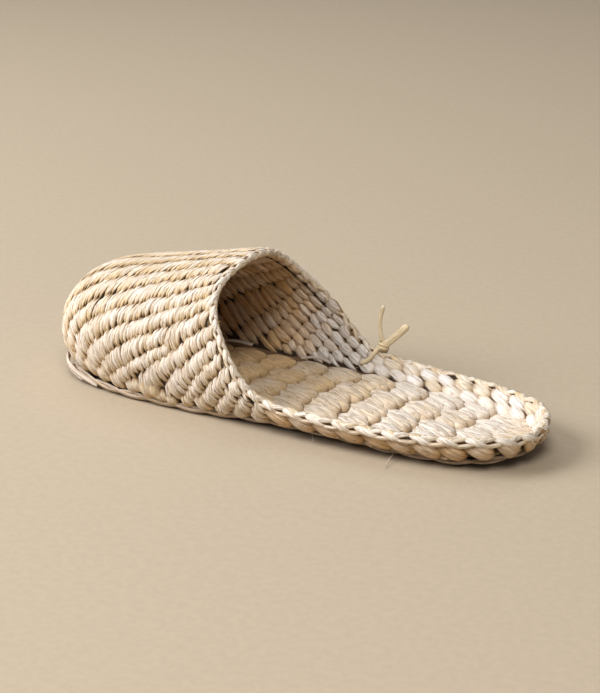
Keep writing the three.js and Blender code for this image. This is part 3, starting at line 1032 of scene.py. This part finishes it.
def line_vamp(weave, strand):
    """The inner face: a pointed spindle across the rib for each stitch."""
    sheet = wall_sheet("toe", inside=True)
    for rib in rib_rows(weave, sheet, True, sizes().stitch / MM * 1.22):
        slant = math.radians(104) + weave.random.normal(0, math.radians(4), rib.count)
        # the spindles are longer and slimmer on the sides, towards the collar, where they are painted
        # whiter as light; elsewhere they are golden, partly in colour and partly as painted shade
        lit_collar = np.clip((sheet(rib.centre)[0][:, 0] + 40) / 40, 0, 1)
        lit_collar *= np.clip((abs(rib.middle) - 5) / 4, 0, 1)
        weave.lay(
            strand, sheet, rib.centre, rib.ahead, slant,
            length=rib.pitch * (1.7 + 0.25 * lit_collar) * rib.size,
            width=rib.widths * (1.4 - 0.25 * lit_collar), height=1.6 * rib.rise, lift=-1.1,
            dive=1.3, sink=1.1, tilt=-0.3, tone=rib.tone + 0.7 - 0.9 * lit_collar,
        )


def stitch_vamp(weave, strand):
    """The outer face: slanted stitches, each a doubled strand whose halves lie side by side."""
    sheet = wall_sheet("toe")
    turn, random = sizes().slant, weave.random
    for rib in rib_rows(weave, sheet, False, sizes().stitch / MM):
        count, fat = rib.count, rib.fat
        # the stitches lie flatter and turn more golden towards the crown
        crown = np.exp(-(rib.middle / 4.4) ** 2)
        slant = turn - math.pi + random.normal(0, math.radians(3.5), count)
        # the fat stitches at the sole are painted more golden as shade, where the wall turns under
        tone = rib.tone + 0.05 + 0.2 * crown + 0.3 * fat
        long = rib.pitch / abs(math.sin(turn)) * (1.36 + 0.05 * fat - 0.02 * crown) * rib.size
        wide = rib.widths * math.sin(turn)
        share = random.uniform(0.36, 0.64, count)
        for part, centre_of in ((share, (share - 1) / 2), (1 - share, share / 2)):
            weave.lay(
                strand, sheet, rib.centre, rib.ahead, slant + random.normal(0, 0.05, count),
                length=long * random.uniform(0.96, 1.04, count),
                width=wide * (part * 1.16 + 0.18), offset=wide * centre_of,
                shift=random.normal(0, 0.35, count),
                height=(1.8 - 1.05 * crown) * rib.rise * random.uniform(0.88, 1.1, count) + 0.9 * fat,
                lift=0.5 * crown - 1.0, dive=2.5 - 1.7 * crown - 1.0 * fat,
                sink=1.2 - 0.9 * crown + 0.3 * fat, tilt=0.3, bow=0.5,
                tone=tone + random.uniform(-0.15, 0.15, count),
            )


class SLIPPER_OT_vamp(bpy.types.Operator):
    """Plait the ribs of the vamp, outside and inside"""

    bl_idname = "slipper.vamp"
    bl_label = "Vamp"

    def execute(self, context):
        outside = Weave(SEED)
        stitch_vamp(outside, model_strand(STITCH, 0.45))
        outside.make("vamp_outside", rush_finish("pale rush"), "pale_rush", "upper")
        lining = Weave(SEED + 1)
        line_vamp(lining, model_strand(SPINDLE, 0.45))
        lining.make("vamp_inside", rush_finish("lining rush"), "pale_rush", "upper")
        return {"FINISHED"}


def rim_line(share):
    """A level line round the low wall, from its foot on +Y round the heel to -Y: chart points
    round the heel. share is 0 at the sole and 1 at the mouth."""
    # it starts 3 mm in front of the vamp's foot
    start = station_angle(FORM_SECTIONS, VAMP_FOOT_X - 3)
    angle = np.linspace(start, math.pi - 0.02, 500)
    x = angle_station(FORM_SECTIONS, angle)
    rim = PROFILE[PROFILE[:, 0] > VAMP_FOOT_X - 5]
    low = tread_lift(x) + SOLE_TOP
    height = low + (np.interp(x, rim[:, 0], rim[:, 1]) - low) * share
    keel = column(FORM_SECTIONS, LEVEL, angle) - column(FORM_SECTIONS, KEEL, angle)
    held = height > keel
    chart = to_chart(angle[held], fall_at(angle[held], height[held]), "heel")
    chart[-1, 0] = 0
    return np.vstack([chart, chart[-2::-1] * [-1, 1]])


def rim_row(weave, strand, share, inside, spacing, slant, length, width, tones, start=0.5, **more):
    """One row of stitches round the low wall, from its foot on +Y round the heel to -Y."""
    sheet = wall_sheet("heel", inside)
    line = rim_line(share)
    lengths = lengths_along(sheet(line)[0])
    spacing = lengths[-1] / round(lengths[-1] / spacing)
    middles = np.arange(spacing * start, lengths[-1], spacing)
    middles += weave.random.normal(0, 0.05 * spacing, len(middles))
    centre = at_length(line, lengths, middles)
    ahead = sheet(at_length(line, lengths, middles + 1))[0]
    ahead -= sheet(at_length(line, lengths, middles - 1))[0]
    count = len(middles)
    vary = weave.random.uniform(0.92, 1.08, (2, count))
    weave.lay(
        strand, sheet, centre, ahead, slant + weave.random.normal(0, 0.05, count),
        length=length * vary[0], width=width * vary[1],
        tone=weave.random.uniform(*tones, count), **more
    )


class SLIPPER_OT_rim(bpy.types.Operator):
    """Plait the low wall round the heel, outside and inside"""

    bl_idname = "slipper.rim"
    bl_label = "Low Rim"

    def execute(self, context):
        leaf = model_strand(LEAF, 0.5)
        outside = Weave(SEED + 2)
        # each leaf is two strands side by side, a broad long one and a narrow short one laid
        # deeper: offset, width, length, rise and shift. Both take the same draws, to stay together
        for offset, wide, long, rise, shift in (
            (0.4, 8.6, 19.0, 0.0, 0.4), (3.6, 4.6, 13.5, -0.5, 0.8),
        ):
            outside.random = np.random.default_rng(SEED + 2)
            # the leaves are golden, partly in the rush's colour and partly as painted shade on this face,
            # which looks down
            rim_row(
                outside, leaf, 0.44, False, spacing=12.6, slant=math.radians(180 - 38),
                length=long, width=wide, tones=(0.35, 0.8), offset=offset, shift=shift,
                height=2.5, lift=-0.7 + rise, dive=1.6, sink=0.9, tilt=-0.8, bow=1.2,
            )
        outside.make("rim_outside", rush_finish("golden rush"), "pale_rush", "upper")
        lining = Weave(SEED + 3)
        pebble = model_strand(PEBBLE, 0.45)
        for share, start in ((0.3, 0.2), (0.7, 0.6)):
            rim_row(
                lining, pebble, share, True, spacing=10.6, slant=math.radians(-16),
                length=15.6, width=6.6, tones=(-0.05, 0.55), start=start,
                height=2.1, lift=-0.8, dive=1.1, sink=0.8,
            )
        lining.make("rim_inside", rush_finish("bleached rush"), "pale_rush", "upper")
        return {"FINISHED"}


def mouth_line(steps):
    """The middle of the wall's edge once round, and the wall's outward normal there."""
    lengths = lengths_along(PROFILE)
    eased = (1 - np.cos(np.linspace(0, math.pi, 400))) / 2 * lengths[-1]
    profile = at_length(PROFILE, lengths, eased)
    angle = station_angle(FORM_SECTIONS, profile[:, 0])
    fall = fall_at(angle, profile[:, 1])
    fall[0], fall[-1] = 0, math.pi
    normal = form_normal(angle, fall)
    side = form_point(angle, fall) - normal * WALL / 2
    flip = np.array([1, -1, 1])
    line = np.vstack([side, side[-2:0:-1] * flip])
    out = np.vstack([normal, normal[-2:0:-1] * flip])
    loop = np.vstack([line, line[:1]])
    lengths = lengths_along(loop)
    wanted = np.arange(steps) / steps * lengths[-1]
    return (at_length(loop, lengths, wanted),
            unit(at_length(np.vstack([out, out[:1]]), lengths, wanted)), lengths[-1])


def edge_sheet(line, face, length, radius):
    """The round edge of the mouth. The chart is the length along it, and the distance round it
    from the face, which grows towards the inside."""
    aside = unit(np.cross(loop_ahead(line), face))
    table = np.hstack([line, face, aside, radius[:, None]])
    table = np.vstack([table, table[:1]])
    places = np.linspace(0, length, len(table))

    def sheet(chart):
        along = chart[..., 0] % length
        row = np.stack([np.interp(along, places, column) for column in table.T], -1)
        turn = (chart[..., 1] / row[..., 9])[..., None]
        normal = unit(row[..., 3:6] * np.cos(turn) + row[..., 6:9] * np.sin(turn))
        return row[..., :3] + normal * row[..., 9:10], normal

    return sheet


# low is 0 on the collar, where the plait is thin and close, and 1 on the low rim


def edge_radius(low):
    """How far the plait's leaves lie from the middle of the wall's edge."""
    return 1.55 + 0.25 * low


def leaf_pitch(plait, low):
    return plait * (0.62 + 0.38 * low)


class SLIPPER_OT_braid(bpy.types.Operator):
    """Plait pointed leaves round the edge of the collar and the low rim"""

    bl_idname = "slipper.braid"
    bl_label = "Mouth Braid"

    def execute(self, context):
        steps = 600
        line, out, length = mouth_line(steps)
        ahead = loop_ahead(line)
        # the plait's face looks out of the wall and out of the mouth at once
        low = np.clip((line[:, 0] - 5) / 25, 0, 1)
        face = unit(out + np.cross(ahead, out) * (0.45 + 0.55 * low)[:, None])
        # a dark strand inside the plait: its colour is painted shade in the gaps between the leaves
        heart = Weave(SEED + 4)
        heart.run(line, face, 0.9 + 0.3 * low, 0.9 + 0.3 * low, closed=True)
        heart.make("mouth_core", shade_material("plait core"), "golden_rush", "mouth_braid")
        sheet = edge_sheet(line, face, length, edge_radius(low))
        places = np.linspace(0, length, steps, endpoint=False)
        braid = Weave(SEED + 4)
        leaf = model_strand(LEAF, 0.5)
        plait = sizes().plait / MM
        stations = [0.0]
        while stations[-1] < length - plait * 0.4:
            here = np.interp(stations[-1], places, low)
            stations.append(stations[-1] + leaf_pitch(plait, here) * braid.random.uniform(0.94, 1.06))
        stations = np.array(stations[:-1]) * length / stations[-1]
        low = np.interp(stations, places, low)
        count = len(stations)
        # turn round the edge, slant, length, width, part of a pitch behind, tone, dive and sink
        for turn, slant, long, wide, behind, tone, dive, sink in (
            (-66, 184, 1.25, 3.3, 0.0, 0.25, 0.2, 1.5),
            (-8, 152, 1.5, 4.9, 0.5, 0.0, 1.4, 0.5),
            (58, 200, 1.35, 4.6, 0.2, 0.2, 1.2, 0.8),
            (122, 155, 1.35, 4.6, 0.7, 0.4, 1.2, 0.8),
        ):
            pitch = leaf_pitch(plait, low)
            centre = np.stack([stations + behind * pitch, math.radians(turn) * edge_radius(low)], -1)
            centre[:, 0] += braid.random.normal(0, 0.05, count) * pitch
            forward = sheet(centre + [0.5, 0])[0] - sheet(centre - [0.5, 0])[0]
            size = 0.8 + 0.2 * low
            braid.lay(
                leaf, sheet, centre, forward, math.radians(slant) + braid.random.normal(0, 0.06, count),
                length=pitch * long * braid.random.uniform(0.92, 1.08, count),
                width=wide * size * braid.random.uniform(0.9, 1.1, count),
                height=1.25 * size, lift=-0.3, dive=dive * size, sink=sink * size, tilt=0.2,
                tone=tone + braid.random.uniform(-0.2, 0.25, count),
            )
        braid.make("mouth_plait", rush_finish("plait rush"), "golden_rush", "mouth_braid")
        return {"FINISHED"}


def footbed_height(x, y):
    reach = np.clip(1 - (x / 118) ** 2 - (y / 30) ** 2, 0, 1)
    return FOOTBED_TOP + tread_lift(x) + 0.8 * np.sqrt(reach)


def bed_half(x):
    """Half width of the space inside the wall, where the footbed's top meets it."""
    x = np.asarray(x, float)
    angle = station_angle(FORM_SECTIONS, x)
    fall = fall_at(angle, tread_lift(x) + 8.0)
    inner = form_point(angle, fall) - form_normal(angle, fall) * WALL
    return inner[..., 1]


DRAW_IN_X = 75.0           # behind this the rows draw together with the sides


def mat_rows(weave, strand, sheet, rows, pitch, spacing, slant, half_at, ends, length, tone_and_shade_at,
             parts, lift, bow, **shape):
    """Lengthwise rows of slanted leaves over a level face, between the sides that half_at
    gives. Each leaf is laid as its strands: offset, width, length, rise, shift and turn, so
    that their tails meet and their heads fan out."""
    xs, ys = [], []
    for row in rows:
        start = ends[0] + spacing * weave.random.random()
        x = np.arange(start, ends[1], spacing)
        x = x + weave.random.normal(0, 0.045 * spacing, len(x))
        draw = np.minimum(1, half_at(x) / half_at(np.array([DRAW_IN_X])))
        xs.append(x)
        ys.append(row * pitch * np.where(x > DRAW_IN_X, draw, 1) + weave.random.normal(0, 0.4, len(x)))
    x, y = np.concatenate(xs), np.concatenate(ys)
    slants = slant + weave.random.normal(0, 0.06, len(x))
    # a leaf keeps only the stretch whose middle line lies between the ends, and far enough
    # inside the sides for the outer strand's width
    places = np.linspace(-1, 1, 25)
    bent = bow * (1 - places ** 2)
    cos, sin = np.cos(slants)[:, None], np.sin(slants)[:, None]
    leaf_x = x[:, None] + places * length / 2 * cos - bent * sin
    leaf_y = y[:, None] + places * length / 2 * sin + bent * cos
    within = np.abs(leaf_y) < half_at(leaf_x) - parts[-1][1] * 0.45
    within &= (leaf_x > ends[0]) & (leaf_x < ends[1])
    tail = np.where(within, places, 2).min(axis=1)
    head = np.where(within, places, -2).max(axis=1)
    keep = head - tail > 0.5
    x, y, slants, tail, head = x[keep], y[keep], slants[keep], tail[keep], head[keep]
    middle = (tail + head) / 2 * length / 2
    centre = np.stack([x + middle * np.cos(slants), y + middle * np.sin(slants)], -1)
    lengths = (head - tail) / 2 * length * weave.random.uniform(0.94, 1.05, len(x))
    tone = tone_and_shade_at(x) + weave.random.uniform(-0.2, 0.2, len(x))
    ahead = np.tile([1.0, 0, 0], (len(x), 1))
    for offset, wide, long, rise, shift, turn in parts:
        weave.lay(
            strand, sheet, centre, ahead,
            slants + math.radians(turn) + weave.random.normal(0, 0.02, len(x)),
            length=lengths * long, width=wide * weave.random.uniform(0.94, 1.06, len(x)),
            lift=lift + rise, bow=bow, offset=offset, shift=shift,
            tone=tone + weave.random.uniform(-0.1, 0.1, len(x)), **shape,
        )


class SLIPPER_OT_footbed(bpy.types.Operator):
    """Lay the footbed's fat leaves over its core"""

    bl_idname = "slipper.footbed"
    bl_label = "Footbed"

    def execute(self, context):
        lay_core("footbed", 0.9, shade_material("bed core", 5))
        leaf = model_strand(LEAF, 0.6)
        bed = Weave(SEED + 5)
        mat_rows(
            bed, leaf, level_sheet(footbed_height, 1), rows=[k + 0.29 for k in range(-3, 4)],
            pitch=17.2, spacing=19.4, slant=math.radians(-20), ends=(-121, 127), length=36,
            # 0.6 mm into the wall at the heel, and 1.6 mm short of it under the vamp
            half_at=lambda x: bed_half(x) + 0.6 - 2.2 * np.clip((6 - x) / 8, 0, 1),
            # golden under the vamp, pale towards the heel: painted shade where the vamp shades the
            # footbed
            tone_and_shade_at=lambda x: 0.7 - 0.65 * np.clip((x + 20) / 70, 0, 1),
            parts=((-4.6, 10.5, 0.9, -0.5, 0.5, -9), (-0.6, 12.5, 1.0, -0.05, 0.6, -2),
                   (3.8, 10.5, 1.0, 0.0, 0.0, 5)),
            height=2.0, lift=-0.5, dive=3.6, sink=-0.2, tilt=0.8, bow=4.0,
        )
        bed.make("footbed_leaves", rush_finish("footbed rush"), "footbed_rush", "footbed")
        return {"FINISHED"}


def tread_line(steps, inset, height):
    """The tread's outline once round, moved inwards, at a height above the tread line."""
    angle = np.linspace(0, math.pi, 400)
    x = angle_station(TREAD_SECTIONS, angle)
    side = np.stack([x, column(TREAD_SECTIONS, HALF, angle)], -1)
    loop = np.vstack([side, side[-2:0:-1] * [1, -1], side[:1]])
    ahead = unit(np.gradient(loop, axis=0))
    ahead[0] = ahead[-1] = (0, 1)
    loop = loop + np.stack([ahead[:, 1], -ahead[:, 0]], -1) * inset
    points = np.column_stack([loop, tread_lift(loop[:, 0]) + height])
    lengths = lengths_along(points)
    return at_length(points, lengths, np.arange(steps) / steps * lengths[-1]), lengths[-1]


class SLIPPER_OT_sole(bpy.types.Operator):
    """Lay the sole's mat and the strands round its edge"""

    bl_idname = "slipper.sole"
    bl_label = "Sole"

    def execute(self, context):
        lay_core("sole", 1.2, shade_material("sole core"))
        leaf = model_strand(OVAL, 0.45)
        mat = Weave(SEED + 6)
        mat_rows(
            mat, leaf, level_sheet(lambda x, y: tread_lift(x) + 1.2 + 0 * y, -1),
            rows=[k + 0.4 for k in range(-4, 4)], pitch=11.0, spacing=9.5,
            slant=math.radians(-38), ends=(-123, 125), length=22,
            half_at=lambda x: tread_at(HALF, x) - 0.5, tone_and_shade_at=lambda x: 0.6 + 0 * x,
            parts=((0.0, 7.4, 1.0, 0.0, 0.0, 0),),
            height=1.1, lift=-0.2, dive=0.9, sink=0.0, tilt=0.2, bow=1.0,
        )
        mat.make("sole_mat", rush_finish("sole rush"), "sole_rush", "sole")
        steps = 480
        line, length = tread_line(steps, BINDING_RADIUS - 0.8, BINDING_RADIUS + 1.1)
        up = unit(np.cross(loop_ahead(line), [0.0, 0, 1]) + [0.0, 0, 1.2])
        wide = 0.9 + 1.2 * np.clip((30 - line[:, 0]) / 20, 0, 1)
        edge = Weave(SEED + 7)
        turns = round(length / 34)
        for strand in range(2):
            phase = np.arange(steps) / steps * 2 * math.pi * turns + strand * math.pi
            path = line + [0.0, 0, 1] * np.cos(phase)[:, None] * 0.8 + up * np.sin(phase)[:, None] * 0.5
            # each strand is painted golden and brown as shade where it passes under the other
            edge.run(path, up, wide, 0.8, closed=True, tone=-0.1 + 0.3 * strand,
                     dip=0.3 + 0.5 * np.clip(-np.sin(phase), 0, 1))
        # a flat strand bows off the edge at the toe, over a second one that holds it down
        for points, wide in ((TOE_LIP, 1.8), (TOE_STRAP, 1.6)):
            path = smooth_line(points, 6)
            outward = unit(path * [0.3, 1, 0] + [-10.0, 0, 14])
            taper = np.sin(np.linspace(0.1, math.pi - 0.1, len(path))) ** 0.25
            edge.run(path, outward, wide * taper, 0.6 * taper, tone=-0.1, dip=0.2)
        edge.make("sole_edge", rush_finish("edge rush"), "pale_rush", "sole_binding")
        return {"FINISHED"}


class SLIPPER_OT_loose(bpy.types.Operator):
    """Lay the cut strand ends on the footbed, and the fibres that hang off the sole on -Y"""

    bl_idname = "slipper.loose"
    bl_label = "Loose Ends"

    def execute(self, context):
        loose = Weave(SEED + 10)
        for points, wide, thick in LOOSE_ENDS:
            path = smooth_line(points, 6)
            up = np.tile([0.0, -0.3, 1], (len(path), 1))
            loose.run(path, up, wide, thick, sides=6, tone=-0.2, dip=0.2)
        loose.make("loose_ends", rush_finish("bleached rush"), "pale_rush")
        return {"FINISHED"}


class SLIPPER_OT_tie(bpy.types.Operator):
    """Draw the tie through the wall, round the rim and into its knot, with two free ends"""

    bl_idname = "slipper.tie"
    bl_label = "Tie"

    def execute(self, context):
        route = [np.array(p, float) for p in TIE_ROUTE]
        upright = route[HOLE_AT::-1]
        leaning = route[HOLE_AT:]
        knot = self.make_knot(route[KNOT_AT])
        for name, points, width, thick in (
            ("tie_upright", upright, 1.05, 0.7), ("tie_leaning", leaning, 1.95, 0.75),
        ):
            line = smooth_line(points, 6)
            strand = Weave(SEED + 8)
            taper = np.ones(len(line))
            taper[-2:] = (0.92, 0.6)
            toward = np.array([0.57, -0.8, 0.2])
            strand.run(line, np.tile(toward, (len(line), 1)), width * taper, thick * taper,
                       sides=10, tone=0.15, dip=0.3)
            piece = strand.make(name, rush_finish("tie rush"), "golden_rush", "tie")
            length = lengths_along(line)[-1] * MM
        return {"FINISHED"}

    def make_knot(self, place):
        """A strand wound twice round the two ends."""
        turn = np.linspace(0, 2 * math.pi * 2.1, 40)
        rise = np.linspace(-1.7, 1.9, 40)
        axis = unit(np.array([0.25, 0.35, 1.0]))
        first = unit(np.cross(axis, [0.0, 1, 0]))
        second = np.cross(axis, first)
        round_it = first * np.cos(turn)[:, None] + second * np.sin(turn)[:, None]
        line = place + round_it * 2.4 + axis * rise[:, None]
        knot = Weave(SEED + 9)
        knot.run(line, round_it, 1.0, 0.6, tone=0.4, dip=0.3)
        return knot.make("tie_knot", rush_finish("tie rush"), "golden_rush", "tie")


class SLIPPER_PT_panel(bpy.types.Panel):
    """The slipper's pieces and their sizes and colours"""

    bl_idname = "SLIPPER_PT_panel"
    bl_label = "Woven Slipper"
    bl_space_type = "VIEW_3D"
    bl_region_type = "UI"
    bl_category = "Slipper"

    def draw(self, context):
        scene = context.scene
        for group in (scene.slipper_weave, scene.slipper_rush, scene.slipper_stage):
            box = self.layout.box()
            for name in group.bl_rna.properties.keys():
                if name not in ("rna_type", "name"):
                    box.prop(group, name)
        for operator in OPERATORS:
            self.layout.operator(operator.bl_idname)


OPERATORS = (
    SLIPPER_OT_stage,
    SLIPPER_OT_tie,
    SLIPPER_OT_core,
    SLIPPER_OT_vamp,
    SLIPPER_OT_rim,
    SLIPPER_OT_braid,
    SLIPPER_OT_footbed,
    SLIPPER_OT_sole,
    SLIPPER_OT_loose,
)
CLASSES = (SlipperRush, SlipperWeave, SlipperStage, *OPERATORS, SLIPPER_PT_panel)


def register():
    for cls in CLASSES:
        bpy.utils.register_class(cls)
    bpy.types.Scene.slipper_rush = bpy.props.PointerProperty(type=SlipperRush)
    bpy.types.Scene.slipper_weave = bpy.props.PointerProperty(type=SlipperWeave)
    bpy.types.Scene.slipper_stage = bpy.props.PointerProperty(type=SlipperStage)


def unregister():
    del bpy.types.Scene.slipper_stage
    del bpy.types.Scene.slipper_weave
    del bpy.types.Scene.slipper_rush
    for cls in reversed(CLASSES):
        bpy.utils.unregister_class(cls)


def main():
    register()
    bpy.ops.slipper.stage()
    bpy.ops.slipper.tie()
    bpy.ops.slipper.core()
    bpy.ops.slipper.vamp()
    bpy.ops.slipper.rim()
    bpy.ops.slipper.braid()
    bpy.ops.slipper.footbed()
    bpy.ops.slipper.sole()
    bpy.ops.slipper.loose()
    visual_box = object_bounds()
    boxes = {"cad": CAD_BOX, "visual": visual_box}
    {k: [list(map(float, corner)) for corner in v] for k, v in boxes.items()}


if __name__ == "__main__":
    main()
